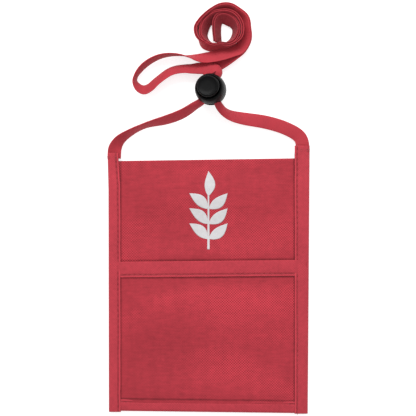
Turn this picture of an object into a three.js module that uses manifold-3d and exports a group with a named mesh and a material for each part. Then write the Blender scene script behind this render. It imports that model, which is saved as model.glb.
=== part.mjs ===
// Neck pouch for a badge: a flat sewn pouch with a front slip pocket, a clear badge sleeve on its
// back, and a flat strap that runs through a spring cord lock and ends in a loose roll.
//
// Millimetres. The pouch lies on its back, with its front face up (+Z) and its strap towards +Y.
// The origin is the middle of the pouch's outline, on the surface that it lies on.

import * as THREE from 'three';
import { mergeVertices } from 'three/addons/utils/BufferGeometryUtils.js';
import Module from 'manifold-3d';

const wasm = await Module();
wasm.setup();

// ---- Pouch outline ----
const POUCH_WIDTH = 133.8;
const POUCH_LENGTH = 177.8;
const HALF_WIDTH = POUCH_WIDTH / 2;
const BOTTOM = -POUCH_LENGTH / 2;
const LEFT_BINDING_TOP = 84.1;
const RIGHT_BINDING_TOP = POUCH_LENGTH / 2;
const SIDE_BINDING_WIDTH = 9;
const BOTTOM_BINDING_WIDTH = 9.2;
const PANEL_TOP_LEFT = 78.6;
const PANEL_TOP_RIGHT = 80.6;
const BACK_PANEL_DROP = 0.8;
const MOUTH_LEFT = 11.8;
const MOUTH_RIGHT = 13.1;
const MOUTH_BINDING_WIDTH = 10.6;
const MOUTH_TUCK = 1;
const BADGE_MOUTH = 26;
const BADGE_BINDING_WIDTH = 8;
const EDGE_CLEARANCE = 0.2;
const END_GAP = 0.3;

// ---- Layers of the pouch, from the surface up: [bottom, top] ----
const BINDING_LAYER = [0, 4.42];
const BINDING_THICKNESS = 0.45;
const BADGE_BINDING_LAYER = [0.08, 1.22];
const NARROW_TAPE = 0.35;
const BADGE_WINDOW_LAYER = [0.5, 0.8];
const BACK_PANEL_LAYER = [1.3, 1.75];
const HOOK_LAYER = [1.8, 2.15];
const LOOP_LAYER = [2.2, 2.55];
const FRONT_PANEL_LAYER = [2.62, 3.07];
const PRINT_LAYER = [3.1, 3.18];
const MOUTH_BINDING_LAYER = [3.12, 4.32];
const POCKET_PANEL_LAYER = [3.52, 3.92];
const LAYER_GAP = 0.03;
const THREAD_WIDTH = 0.45;
const THREAD_HEIGHT = 0.22;

// ---- Closure, stitching and print ----
const CLOSURE_LENGTH = 60;
const CLOSURE_WIDTH = 10;
const CLOSURE_TOP = 74;
const SEAM_FROM_INNER_EDGE = 2.2;
const BOTTOM_SEAM_FROM_EDGE = 1.9;
const TACK_LENGTH = 5.4;
const TACK_FROM_TOP = 3;
const STEM_LENGTH = 36;
const STEM_WIDTH = 1.6;
const PRINT_FOOT = [0, 20];
const LEAF_LENGTH = 17;
const LEAF_WIDTH = 7;
const LEAF_PAIRS = 3;
const LEAF_PITCH = 10;
const LEAF_TILT = 50;

// ---- Strap ----
const STRAP_WIDTH = 9;
const STRAP_THICKNESS = 0.9;
const FOLD_NARROWS = 0.6;
const FOLD_THICKENS = 1.2;
const GATHERED_WIDTH = 3.6;
const GATHERED_THICKNESS = 2;
const ROLL_HEIGHT = 9.4;

// ---- Cord lock, about its own centre and axis ----
const LOCK_CENTRE = [1.5, 125.7, 10.7];
const LOCK_TILT = 15;
const LOCK_PROFILE = [
  [0, -9.8], [4.6, -9.8], [7.7, -8.4], [9.4, -5.6], [10.2, -2.2],
  [10.2, 2], [9.8, 5], [9.1, 7.2], [8.5, 7.8], [0, 7.8],
];
const BORE_RADIUS = 7.75;
const BORE_FLOOR = -7;
const SPRING_POCKET_RADIUS = 5.2;
const SPRING_POCKET_FLOOR = -8.2;
const CHANNEL_HALF_WIDTH = 5.6;
const CHANNEL_BOTTOM = -3.6;
const CHANNEL_TOP = 0.8;
const STRAND_HEIGHT = -0.5;
const STRAND_OFFSET = 3.4;
const STRAND_HALF_LENGTH = 9.6;
const PLUNGER_RADIUS = 7.4;
const PLUNGER_BOTTOM = -3.7;
const PLUNGER_TOP = 11;
const PLUNGER_CHAMFER = 0.9;
const PLUNGER_DISH = 0.5;
const WINDOW_HALF_WIDTH = 5.35;
const WINDOW_BOTTOM = -1.8;
const WINDOW_TOP = 3.9;
const SPRING_RADIUS = 4;
const SPRING_WIRE = 0.7;
const SPRING_TURNS = 3;
const SPRING_BOTTOM = -7.6;
const SPRING_TOP = -4.35;

// ---- Strap routes: [x, y, lift of the lower edge, lean, fold] ----
// A lean of 0 lies flat and 90 stands on edge. A positive lean raises the edge on the left of
// someone who walks along the route, and past 90 that upper edge hangs over to the right.
// A fold of 1 is the strap folded up small, as it is inside the cord lock.
const LEFT_RUN = [
  [-62.4, 84.8, 1.6, 4], [-62.1, 86.8, 1.2, 12], [-60.9, 89.6, 0.4, 28], [-59, 92.3, 0.05, 40],
  [-56.4, 94.6, 0.05, 50], [-53.3, 96.6, 0.05, 58], [-49.5, 98.8, 0.05, 64], [-45.5, 100.7, 0.05, 68],
  [-41.5, 102.3, 0.05, 68], [-37.5, 103.5, 0.05, 64], [-33.5, 104.5, 0.05, 58],
  [-29.5, 105.5, 0.05, 52], [-25.5, 106.7, 0.05, 48], [-21.5, 108.1, 0.2, 46],
  [-17.6, 109.4, 0.8, 44, 0.1], [-13.6, 111, 2.4, 40, 0.3], [-9.8, 112.2, 4.8, 34, 0.6],
  [-6.4, 112.8, 7.4, 26, 0.9], [-3.4, 113.1, 9.4, 14, 1], [-2.1, 114.8, 10.6, 6, 1],
];
const RIGHT_RUN = [
  [62.4, 89.6, 1.6, 3], [62.1, 91.4, 1.2, 4], [61.3, 93.6, 0.6, 5], [59.7, 95.6, 0.2, 6],
  [57, 97.6, 0.05, 7], [53.4, 99.5, 0.05, 8], [48.9, 101.4, 0.05, 8], [45, 102.7, 0.05, 8],
  [41, 103.8, 0.05, 9], [37, 104.7, 0.05, 10], [33, 105.4, 0.05, 12], [29, 106, 0.05, 15],
  [25, 106.6, 0.1, 19], [21, 107.3, 0.4, 24], [17, 108.2, 1.4, 30, 0.2], [13.2, 109.2, 3.2, 32, 0.5],
  [9.8, 110.5, 5.8, 26, 0.8], [7.2, 111.8, 8.8, 14, 1], [5.3, 113.2, 11, 6, 1],
  [4.9, 114.9, 11.8, 4, 1],
];
const SLACK_LOOP = [
  [-1.7, 136.1, 6.6, 6, 1], [-2.6, 138, 4.6, 20, 0.8], [-5.6, 139.3, 2.4, 36, 0.4],
  [-10.5, 140, 0.6, 46, 0.1],
  [-16, 140.1, 0.05, 50], [-21.5, 139.3, 0.05, 50], [-26, 137.6, 0.05, 52], [-30.5, 134.6, 0.05, 54],
  [-35, 131, 0.05, 56], [-39.5, 128, 0.05, 57], [-43.5, 127.2, 0.05, 58], [-46.6, 128.4, 0.05, 60],
  [-48.2, 131.4, 0.05, 62], [-47.8, 135, 0.05, 62], [-45.5, 139, 0.05, 61], [-42, 142.4, 0.05, 61],
  [-37.5, 145.2, 0.05, 63], [-32.5, 147.1, 0.05, 68], [-26, 148.4, 0.05, 75], [-19, 148.7, 0.05, 80],
  [-12.5, 148, 0.05, 84], [-7, 147, 0.05, 92], [-2, 146.5, 0.05, 100], [2.5, 146.8, 0.05, 104],
  [6.5, 147.8, 0.05, 106],
];
const LEAD_IN = [
  [5.1, 136.1, 7.9, 8, 1], [5.3, 138, 6, 40, 0.8], [6.2, 140.2, 2.6, 84, 0.4],
  [8.2, 142.4, 0.4, 112, 0.1], [11.2, 144.6, 0.05, 122], [14.2, 146.6, 0.05, 124],
];
const RUN_SPACING = 2;

// ---- Roll of spare strap: an upright oval winding with an open eye ----
const ROLL_CENTRE = [9.2, 167];
const ROLL_OUTER = [19.3, 17.4];
const ROLL_EYE_CENTRE = [7, 164];
const ROLL_EYE = [8.6, 5.4];
const ROLL_SIDES = 40;

const RED = 0xc64652;
const DARK_RED = 0xb23a45;
const BRIGHT_RED = 0xcb4f5b;
const BLACK = 0x17181a;

function finish(color, roughness, metalness = 0) {
  return new THREE.MeshStandardMaterial({ color, roughness, metalness });
}

const fabric = finish(RED, 0.85);
const pocketFabric = finish(DARK_RED, 0.85);
const tape = finish(BRIGHT_RED, 0.8);
const thread = finish(0xd8606a, 0.7);
const strapWeb = finish(0xc94954, 0.75);
const vinyl = new THREE.MeshStandardMaterial({
  color: 0xdfe6ea, roughness: 0.15, transparent: true, opacity: 0.35,
});
const hookTape = finish(0x9c2f3a, 0.95);
const ink = finish(0xe9e9ec, 0.6);
const plastic = finish(BLACK, 0.35);
const steel = finish(0xb9bdc2, 0.3, 1);

// ---- Helpers ----

function polygon(points) {
  return new THREE.Shape(points.map(([x, y]) => new THREE.Vector2(x, y)));
}

function plate(shape, [low, high]) {
  const geometry = new THREE.ExtrudeGeometry(shape, { depth: high - low, bevelEnabled: false });
  return geometry.translate(0, 0, low);
}

function rectangle(x0, x1, y0, y1) {
  return polygon([[x0, y0], [x1, y0], [x1, y1], [x0, y1]]);
}

function block(x0, x1, y0, y1, z0, z1) {
  const geometry = new THREE.BoxGeometry(x1 - x0, y1 - y0, z1 - z0);
  return geometry.translate((x0 + x1) / 2, (y0 + y1) / 2, (z0 + z1) / 2);
}

function piece(name, geometry, material) {
  const mesh = new THREE.Mesh(geometry, material.clone());
  mesh.name = name;
  return mesh;
}

function solid(geometry) {
  const bare = geometry.clone();
  bare.deleteAttribute('normal');
  bare.deleteAttribute('uv');
  const merged = mergeVertices(bare, 1e-4);
  return new wasm.Manifold(new wasm.Mesh({
    numProp: 3,
    vertProperties: new Float32Array(merged.attributes.position.array),
    triVerts: new Uint32Array(merged.index.array),
  }));
}

function geometryOf(manifold) {
  const mesh = manifold.getMesh();
  const geometry = new THREE.BufferGeometry();
  geometry.setAttribute('position', new THREE.BufferAttribute(mesh.vertProperties, 3));
  geometry.setIndex(new THREE.BufferAttribute(mesh.triVerts, 1));
  geometry.computeVertexNormals();
  return geometry;
}

// The height of an edge that rises evenly from the pouch's left side to its right.
function along(left, right, x) {
  return left + (right - left) * (x + HALF_WIDTH) / POUCH_WIDTH;
}

// ---- Panels ----

function panel(name, topLeft, topRight, layer, material) {
  const side = HALF_WIDTH - BINDING_THICKNESS - EDGE_CLEARANCE;
  const bottom = BOTTOM + BINDING_THICKNESS + EDGE_CLEARANCE;
  const outline = polygon([[-side, bottom], [side, bottom], [side, topRight], [-side, topLeft]]);
  return piece(name, plate(outline, layer), material);
}

function closureStrip(name, layer) {
  const half = CLOSURE_LENGTH / 2;
  const outline = rectangle(-half, half, CLOSURE_TOP - CLOSURE_WIDTH, CLOSURE_TOP);
  return piece(name, plate(outline, layer), hookTape);
}

// ---- Bindings: tape folded over an edge, a U in section with its opening inwards ----

function foldSection(width, [low, high], thickness) {
  return polygon([
    [0, low], [width, low], [width, low + thickness], [thickness, low + thickness],
    [thickness, high - thickness], [width, high - thickness], [width, high], [0, high],
  ]);
}

// The section's first axis runs from the folded edge inwards, and its second is the height.
function foldedTape(name, width, layer, thickness, length, material) {
  const section = foldSection(width, layer, thickness);
  const geometry = new THREE.ExtrudeGeometry(section, { depth: length, bevelEnabled: false });
  return piece(name, geometry.rotateX(Math.PI / 2).translate(0, length, 0), material);
}

function sideBinding(name, side, top) {
  const length = top - BOTTOM;
  const mesh = foldedTape(
    name, SIDE_BINDING_WIDTH, BINDING_LAYER, BINDING_THICKNESS, length, tape,
  );
  if (side > 0) mesh.geometry.rotateZ(Math.PI).translate(0, length, 0);
  mesh.geometry.translate(side * HALF_WIDTH, BOTTOM, 0);
  return mesh;
}

function crossBinding(name, width, layer, thickness, edgeY, opensUp, slope = 0) {
  const inner = HALF_WIDTH - SIDE_BINDING_WIDTH - END_GAP;
  const mesh = foldedTape(name, width, layer, thickness, 2 * inner, tape);
  mesh.geometry.translate(0, -inner, 0).rotateZ(opensUp ? Math.PI / 2 : -Math.PI / 2);
  mesh.geometry.rotateZ(slope).translate(0, edgeY, 0);
  return mesh;
}

// ---- Stitching: the line of thread that stands on a binding ----

function threadLine(name, x0, y0, x1, y1, surface) {
  const length = Math.hypot(x1 - x0, y1 - y0);
  const low = surface + LAYER_GAP;
  const half = THREAD_WIDTH / 2;
  const geometry = block(0, length, -half, half, low, low + THREAD_HEIGHT);
  geometry.rotateZ(Math.atan2(y1 - y0, x1 - x0)).translate(x0, y0, 0);
  return piece(name, geometry, thread);
}

function stitching() {
  const face = BINDING_LAYER[1];
  const mouthFace = MOUTH_BINDING_LAYER[1];
  const seamX = HALF_WIDTH - SIDE_BINDING_WIDTH + SEAM_FROM_INNER_EDGE;
  const inner = HALF_WIDTH - SIDE_BINDING_WIDTH - 2 * END_GAP;
  const low = BOTTOM + 2 * END_GAP;
  const bottomY = BOTTOM + BOTTOM_BINDING_WIDTH - BOTTOM_SEAM_FROM_EDGE;
  const mouthY = (x) => along(MOUTH_LEFT, MOUTH_RIGHT, x) - MOUTH_BINDING_WIDTH + SEAM_FROM_INNER_EDGE;
  const leftTack = LEFT_BINDING_TOP - TACK_FROM_TOP;
  const rightTack = RIGHT_BINDING_TOP - TACK_FROM_TOP;
  const tackX = seamX + 1;
  return [
    threadLine('seam_left', -seamX, low, -seamX, leftTack - 1, face),
    threadLine('seam_right', seamX, low, seamX, rightTack - 1, face),
    threadLine('seam_bottom', -inner, bottomY, inner, bottomY, face),
    threadLine('seam_mouth', -inner, mouthY(-inner), inner, mouthY(inner), mouthFace),
    threadLine('tack_left', -tackX, leftTack, -tackX - TACK_LENGTH, leftTack, face),
    threadLine('tack_right', tackX, rightTack, tackX + TACK_LENGTH, rightTack, face),
  ];
}

// ---- Print: a plain leaf sprig ----

function leaf(angle, x, y) {
  const outline = new THREE.Shape();
  outline.moveTo(0, 0);
  outline.quadraticCurveTo(LEAF_WIDTH, LEAF_LENGTH * 0.45, 0, LEAF_LENGTH);
  outline.quadraticCurveTo(-LEAF_WIDTH, LEAF_LENGTH * 0.45, 0, 0);
  const [low, high] = PRINT_LAYER;
  const settings = { depth: high - low, bevelEnabled: false, curveSegments: 10 };
  const geometry = new THREE.ExtrudeGeometry(outline, settings);
  geometry.rotateZ(THREE.MathUtils.degToRad(angle));
  return solid(geometry.translate(x, y, low));
}

function print() {
  const [x, foot] = PRINT_FOOT;
  const half = STEM_WIDTH / 2;
  const top = foot + STEM_LENGTH;
  let sprig = solid(block(x - half, x + half, foot, top, ...PRINT_LAYER));
  sprig = sprig.add(leaf(0, x, top - half));
  for (let pair = 1; pair <= LEAF_PAIRS; pair += 1) {
    const y = top - pair * LEAF_PITCH;
    sprig = sprig.add(leaf(LEAF_TILT, x, y)).add(leaf(-LEAF_TILT, x, y));
  }
  return piece('printed_sprig', geometryOf(sprig), ink);
}

// ---- Strap ----

// An eight-sided flat section: its first axis is the strap's thickness and its second the width.
function strapSection() {
  const w = STRAP_WIDTH / 2;
  const t = STRAP_THICKNESS / 2;
  return polygon([
    [t, w * 0.9], [t * 0.6, w], [-t * 0.6, w], [-t, w * 0.9],
    [-t, -w * 0.9], [-t * 0.6, -w], [t * 0.6, -w], [t, -w * 0.9],
  ]);
}

// The strap's middle line, with frames that turn its section to the lean at each place, and
// stretch or shrink it to the fold.
class StrapLine extends THREE.CatmullRomCurve3 {
  constructor(route) {
    super(route.map(([x, y, lift, lean, fold = 0]) => {
      const turn = THREE.MathUtils.degToRad(lean);
      const width = STRAP_WIDTH * (1 - FOLD_NARROWS * fold);
      const thickness = STRAP_THICKNESS * (1 + FOLD_THICKENS * fold);
      const rise = (Math.sin(turn) * width + Math.abs(Math.cos(turn)) * thickness) / 2;
      return new THREE.Vector3(x, y, lift + rise);
    }));
    this.leans = route.map(([, , , lean]) => THREE.MathUtils.degToRad(lean));
    this.folds = route.map(([, , , , fold = 0]) => fold);
  }

  valueAt(u, values) {
    const place = this.getUtoTmapping(u) * (values.length - 1);
    const before = Math.min(Math.floor(place), values.length - 2);
    return THREE.MathUtils.lerp(values[before], values[before + 1], place - before);
  }

  computeFrenetFrames(segments) {
    const frames = { tangents: [], normals: [], binormals: [] };
    for (let i = 0; i <= segments; i += 1) {
      const tangent = this.getTangentAt(i / segments);
      const up = new THREE.Vector3(0, 0, 1).projectOnPlane(tangent).normalize();
      up.applyAxisAngle(tangent, this.valueAt(i / segments, this.leans));
      const across = new THREE.Vector3().crossVectors(tangent, up);
      const fold = this.valueAt(i / segments, this.folds);
      frames.tangents.push(tangent);
      frames.normals.push(up.multiplyScalar(1 + FOLD_THICKENS * fold));
      frames.binormals.push(across.multiplyScalar(1 - FOLD_NARROWS * fold));
    }
    return frames;
  }
}

function strap(name, route) {
  const line = new StrapLine(route);
  const steps = Math.round(line.getLength() / RUN_SPACING);
  const geometry = new THREE.ExtrudeGeometry(strapSection(), { steps, extrudePath: line });
  return piece(name, geometry, strapWeb);
}

function gatheredStrand(name, side) {
  const x = side * STRAND_OFFSET;
  const w = GATHERED_WIDTH / 2;
  const t = GATHERED_THICKNESS / 2;
  const reach = STRAND_HALF_LENGTH;
  const geometry = block(x - w, x + w, -reach, reach, STRAND_HEIGHT - t, STRAND_HEIGHT + t);
  return piece(name, geometry, strapWeb);
}

function roll() {
  const outline = new THREE.Shape();
  outline.absellipse(...ROLL_CENTRE, ...ROLL_OUTER, 0, 2 * Math.PI, false, 0);
  const eye = new THREE.Path();
  eye.absellipse(...ROLL_EYE_CENTRE, ...ROLL_EYE, 0, 2 * Math.PI, true, 0);
  outline.holes.push(eye);
  const settings = { depth: ROLL_HEIGHT, bevelEnabled: false, curveSegments: ROLL_SIDES };
  return piece('strap_roll', new THREE.ExtrudeGeometry(outline, settings), strapWeb);
}

// ---- Cord lock ----

function lathe(profile, segments) {
  const points = profile.map(([r, z]) => new THREE.Vector2(r, z));
  return new THREE.LatheGeometry(points, segments).rotateX(Math.PI / 2);
}

function lockBody() {
  const reach = 2 * LOCK_PROFILE[4][0];
  const bore = lathe([
    [0, SPRING_POCKET_FLOOR], [SPRING_POCKET_RADIUS, SPRING_POCKET_FLOOR],
    [SPRING_POCKET_RADIUS, BORE_FLOOR], [BORE_RADIUS, BORE_FLOOR], [BORE_RADIUS, reach], [0, reach],
  ], 40);
  const channel = block(
    -CHANNEL_HALF_WIDTH, CHANNEL_HALF_WIDTH, -reach, reach, CHANNEL_BOTTOM, CHANNEL_TOP,
  );
  const body = solid(lathe(LOCK_PROFILE, 40)).subtract(solid(bore)).subtract(solid(channel));
  return piece('lock_body', geometryOf(body), plastic);
}

function lockPlunger() {
  const reach = 2 * PLUNGER_RADIUS;
  const rim = PLUNGER_RADIUS - PLUNGER_CHAMFER;
  const profile = [
    [0, PLUNGER_BOTTOM], [PLUNGER_RADIUS, PLUNGER_BOTTOM],
    [PLUNGER_RADIUS, PLUNGER_TOP - PLUNGER_CHAMFER], [rim, PLUNGER_TOP],
    [rim - 1, PLUNGER_TOP], [rim - 1.8, PLUNGER_TOP - PLUNGER_DISH], [0, PLUNGER_TOP - PLUNGER_DISH],
  ];
  const window = block(
    -WINDOW_HALF_WIDTH, WINDOW_HALF_WIDTH, -reach, reach, WINDOW_BOTTOM, WINDOW_TOP,
  );
  const body = solid(lathe(profile, 40)).subtract(solid(window));
  return piece('lock_plunger', geometryOf(body), plastic);
}

class Helix extends THREE.Curve {
  getPoint(t, target = new THREE.Vector3()) {
    const turn = 2 * Math.PI * SPRING_TURNS * t;
    const height = SPRING_BOTTOM + (SPRING_TOP - SPRING_BOTTOM) * t;
    return target.set(SPRING_RADIUS * Math.cos(turn), SPRING_RADIUS * Math.sin(turn), height);
  }
}

function lockSpring() {
  const section = new THREE.Shape();
  section.absarc(0, 0, SPRING_WIRE / 2, 0, 2 * Math.PI, false);
  const settings = { steps: 16 * SPRING_TURNS, extrudePath: new Helix(), curveSegments: 8 };
  return piece('lock_spring', new THREE.ExtrudeGeometry(section, settings), steel);
}

function cordLock() {
  const lock = new THREE.Group();
  lock.position.set(...LOCK_CENTRE);
  const leanAxis = new THREE.Vector3(-1, -1, 0).normalize();
  lock.quaternion.setFromAxisAngle(leanAxis, THREE.MathUtils.degToRad(LOCK_TILT));
  lock.add(
    lockBody(),
    lockPlunger(),
    lockSpring(),
    gatheredStrand('strap_strand_left', -1),
    gatheredStrand('strap_strand_right', 1),
  );
  return lock;
}

// ---- Assembly ----

function pouch() {
  const mouthSlope = Math.atan2(MOUTH_RIGHT - MOUTH_LEFT, POUCH_WIDTH);
  const mouthMiddle = (MOUTH_LEFT + MOUTH_RIGHT) / 2;
  const backLeft = PANEL_TOP_LEFT - BACK_PANEL_DROP;
  const backRight = PANEL_TOP_RIGHT - BACK_PANEL_DROP;
  const pocketLeft = MOUTH_LEFT - MOUTH_TUCK;
  const pocketRight = MOUTH_RIGHT - MOUTH_TUCK;
  const windowTop = BADGE_MOUTH - MOUTH_TUCK;
  return [
    panel('badge_window', windowTop, windowTop, BADGE_WINDOW_LAYER, vinyl),
    panel('back_panel', backLeft, backRight, BACK_PANEL_LAYER, fabric),
    panel('front_panel', PANEL_TOP_LEFT, PANEL_TOP_RIGHT, FRONT_PANEL_LAYER, fabric),
    panel('pocket_panel', pocketLeft, pocketRight, POCKET_PANEL_LAYER, pocketFabric),
    closureStrip('hook_strip', HOOK_LAYER),
    closureStrip('loop_strip', LOOP_LAYER),
    sideBinding('left_binding', -1, LEFT_BINDING_TOP),
    sideBinding('right_binding', 1, RIGHT_BINDING_TOP),
    crossBinding(
      'bottom_binding', BOTTOM_BINDING_WIDTH, BINDING_LAYER, BINDING_THICKNESS, BOTTOM, true,
    ),
    crossBinding(
      'mouth_binding', MOUTH_BINDING_WIDTH, MOUTH_BINDING_LAYER, NARROW_TAPE, mouthMiddle, false,
      mouthSlope,
    ),
    crossBinding(
      'badge_window_binding', BADGE_BINDING_WIDTH, BADGE_BINDING_LAYER, NARROW_TAPE, BADGE_MOUTH, false,
    ),
    ...stitching(),
    print(),
  ];
}

const holder = new THREE.Group();
holder.add(...pouch());
holder.add(
  strap('strap_left_run', LEFT_RUN),
  strap('strap_right_run', RIGHT_RUN),
  strap('strap_slack_loop', SLACK_LOOP),
  strap('strap_lead_in', LEAD_IN),
  roll(),
  cordLock(),
);

export default holder;
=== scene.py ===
"""A neck pouch for a badge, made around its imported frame: sewn cloth panels, folded binding tapes
with rows of stitches, a clear badge sleeve, and a flat strap that runs through a cord lock into a
loose roll. Everything is in metres and in the frame's own axes."""

import math

import bmesh
import bpy
import numpy as np
from bpy.props import FloatProperty, FloatVectorProperty, IntProperty, PointerProperty
from mathutils import Matrix, Vector, noise


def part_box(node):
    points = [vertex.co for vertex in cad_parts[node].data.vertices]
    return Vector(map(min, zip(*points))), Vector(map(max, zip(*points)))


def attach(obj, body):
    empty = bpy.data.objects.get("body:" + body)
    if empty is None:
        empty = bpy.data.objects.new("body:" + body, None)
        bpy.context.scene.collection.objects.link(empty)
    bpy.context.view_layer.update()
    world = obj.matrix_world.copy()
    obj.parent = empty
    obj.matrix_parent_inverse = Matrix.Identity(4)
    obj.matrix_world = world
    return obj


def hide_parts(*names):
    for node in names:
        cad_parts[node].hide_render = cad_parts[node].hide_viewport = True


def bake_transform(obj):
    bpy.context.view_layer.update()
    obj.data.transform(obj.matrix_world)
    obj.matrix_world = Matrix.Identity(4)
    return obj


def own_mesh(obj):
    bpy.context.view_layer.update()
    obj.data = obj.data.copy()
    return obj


bl_info = {
    "name": "Neck Pouch Maker",
    "version": (1, 0, 0),
    "blender": (4, 5, 0),
    "location": "3D View > Sidebar > Neck Pouch",
    "description": "Makes a sewn neck pouch with its strap, cord lock and studio",
    "category": "Add Mesh",
}

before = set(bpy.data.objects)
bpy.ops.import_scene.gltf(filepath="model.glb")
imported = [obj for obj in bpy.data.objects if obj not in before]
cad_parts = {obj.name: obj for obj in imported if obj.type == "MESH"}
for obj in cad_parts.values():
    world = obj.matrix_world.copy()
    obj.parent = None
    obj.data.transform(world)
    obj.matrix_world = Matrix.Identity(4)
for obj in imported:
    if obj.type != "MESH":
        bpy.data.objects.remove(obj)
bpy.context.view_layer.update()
MM = 0.001
STITCH_PITCH = 3.5
GROOVE_FROM_EDGE = 1.85
SEAM_ENDS = (-57.6, 56.6)
STATION_STEP = 0.62
STITCH_SEED = 7
FLOOR_LEVEL = -0.0003
FLOOR_GLOW = 0.66
SOFTBOX_PLACE = (-0.14, 0.98, 0.78)
VIEW_MIDDLE = (-0.0003, 0.0475)

# Strap routes, close to the frame's: (x, y, lift of the lower edge, lean, fold), in
# millimetres and degrees. A lean of 0 lies flat and 90 stands on edge. A positive lean raises the
# edge on the left of someone who walks along the route, and past 90 it hangs over to the right.
# A fold of 1 is the strap folded up small, as it is inside the cord lock.
LEFT_RUN = [
    (-62.6, 80.4, 1.75, 0, 0), (-62.4, 84.8, 1.6, 4, 0), (-62.1, 86.8, 1.2, 12, 0),
    (-60.9, 89.6, 0.4, 28, 0), (-59, 92.3, 0.05, 40, 0), (-56.4, 94.6, 0.05, 50, 0),
    (-53.3, 96.6, 0.05, 58, 0), (-49.5, 98.8, 0.05, 64, 0), (-45.5, 100.7, 0.05, 68, 0),
    (-41.5, 102.3, 0.05, 68, 0), (-37.5, 103.5, 0.05, 64, 0), (-33.5, 104.5, 0.05, 58, 0),
    (-29.5, 105.5, 0.05, 52, 0), (-25.5, 106.7, 0.05, 48, 0), (-21.5, 108.1, 0.2, 46, 0),
    (-17.6, 109.8, 0.8, 46, 0), (-13.6, 112, 2, 50, 0.1), (-9.8, 114.3, 3.8, 52, 0.3),
    (-6.4, 116.4, 5.8, 44, 0.6), (-3.8, 118.6, 8, 20, 0.9),
]
RIGHT_RUN = [
    (62.5, 85.2, 1.75, 0, 0), (62.4, 89.6, 1.6, 3, 0), (62.1, 91.4, 1.2, 4, 0),
    (61.3, 93.6, 0.6, 5, 0), (59.7, 95.6, 0.2, 6, 0), (57, 97.6, 0.05, 7, 0),
    (53.4, 99.5, 0.05, 8, 0), (48.9, 101.4, 0.05, 8, 0), (45, 102.7, 0.05, 8, 0),
    (41, 103.8, 0.05, 9, 0), (37, 104.7, 0.05, 10, 0), (33, 105.4, 0.05, 12, 0),
    (29, 106, 0.05, 15, 0), (25, 106.6, 0.1, 19, 0), (21, 107.3, 0.4, 26, 0),
    (17, 108.2, 1.2, 34, 0.12), (13.4, 109.6, 2.8, 40, 0.28), (10.4, 111.6, 4.8, 40, 0.46),
    (8, 114, 7, 32, 0.66), (6.2, 116.6, 9, 16, 0.85),
]
LEFT_STRAND = [(-2, 121.6, 9.3, 0, 1), (-1.75, 126, 8.4, 0, 1), (-1.6, 132.6, 7.2, 0, 1)]
RIGHT_STRAND = [(4.9, 120, 10.8, 0, 1), (4.9, 125.5, 9.8, 0, 1), (5.4, 132.6, 8.5, 0, 1)]
LEFT_LEAD_IN = [
    (-1.4, 135.4, 6.2, 0, 1), (-0.6, 137.6, 3.6, 0, 0.7), (1.6, 139.8, 1.2, -2, 0.35),
    (5.2, 142.2, 0.2, -8, 0.1), (10.6, 145.3, 0.05, -18, 0), (16.6, 149.2, 0.05, -28, 0),
]
SLACK_LOOP = [
    (6.3, 135.2, 6.8, 32, 0.85), (6.9, 137.2, 5.3, 46, 0.5), (5.3, 139.1, 4.2, 40, 0.2),
    (1.9, 139.9, 3.3, 29, 0.05), (-1.8, 140.1, 2.6, 26, 0), (-6, 140.2, 1.6, 29, 0),
    (-10.8, 139.9, 0.6, 40, 0), (-16, 139.9, 0.05, 48, 0), (-21.5, 139.2, 0.05, 50, 0),
    (-26, 137.6, 0.05, 52, 0), (-30.5, 134.6, 0.05, 54, 0), (-35, 131, 0.05, 54, 0),
    (-38.8, 127.5, 0.05, 51, 0), (-42.7, 125.9, 0.05, 46, 0), (-46.4, 127.5, 0.05, 56, 0),
    (-48.7, 131.4, 0.05, 72, 0), (-48, 135, 0.05, 76, 0), (-45.4, 139, 0.05, 70, 0),
    (-41.8, 142.6, 0.05, 69, 0), (-37.3, 145.6, 0.05, 71, 0), (-32.3, 147.8, 0.05, 75, 0),
    (-26, 149, 0.05, 80, 0), (-19, 148.9, 0.05, 88, 0), (-12.5, 147.9, 0.05, 104, 0),
    (-7.4, 147.1, 0.3, 125, 0), (-2, 147.1, 1, 141, 0), (4, 148, 1.5, 147, 0),
    (10, 149.4, 1.7, 149, 0), (15.4, 151.2, 1.4, 150, 0),
]

# The roll: (quarter of a turn, radius, lean). Quarter -1 is the near side, 0 the right side, and
# the turns go round leftwards, seen from above. CROSSING is the stretch across its middle.
ROLL_CENTRE = (8.2, 166.6)
ROLL_TURNS = [
    (-0.5, 18.7, 153), (-0.25, 18, 147), (0, 16.7, 138), (0.3, 17.1, 133), (0.6, 15, 130),
    (0.83, 15.2, 128), (1, 13.9, 126), (1.2, 12.7, 121), (1.5, 12.7, 116), (1.75, 14, 112),
    (2, 16.2, 109), (2.2, 16.5, 102), (2.5, 16, 70), (2.75, 14.1, 62), (3, 12.6, 68),
    (3.35, 13.4, 86), (3.7, 14.4, 101), (4, 14.2, 103), (4.5, 12.3, 116), (5, 9.8, 127),
    (5.5, 9.6, 134), (6, 11.5, 128), (6.3, 13, 116), (6.6, 12.9, 96), (7, 10.9, 83),
    (7.5, 11.4, 105), (8, 10.8, 116), (8.5, 8.2, 138), (9, 7.2, 136),
]
ROLL_ENDS = (-0.5, 8.9)
CROSSING = [
    (7, 173.5, 0.1, 133, 0), (5.6, 171.7, 0.05, 127, 0), (5, 169, 0.05, 123, 0),
    (4.9, 165.8, 0.05, 121, 0), (5.1, 162.4, 0.05, 119, 0), (5.5, 157.8, 0.05, 117, 0),
]


def colour_setting(name, description, default):
    return FloatVectorProperty(
        name=name, description=description, subtype="COLOR", size=3, min=0, max=1,
        default=default,
    )


def length_setting(name, description, default, low, high):
    """A length, with its default and its limits given in mm."""
    return FloatProperty(
        name=name, description=description, default=default * MM, min=low * MM, max=high * MM,
        unit="LENGTH",
    )


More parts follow.
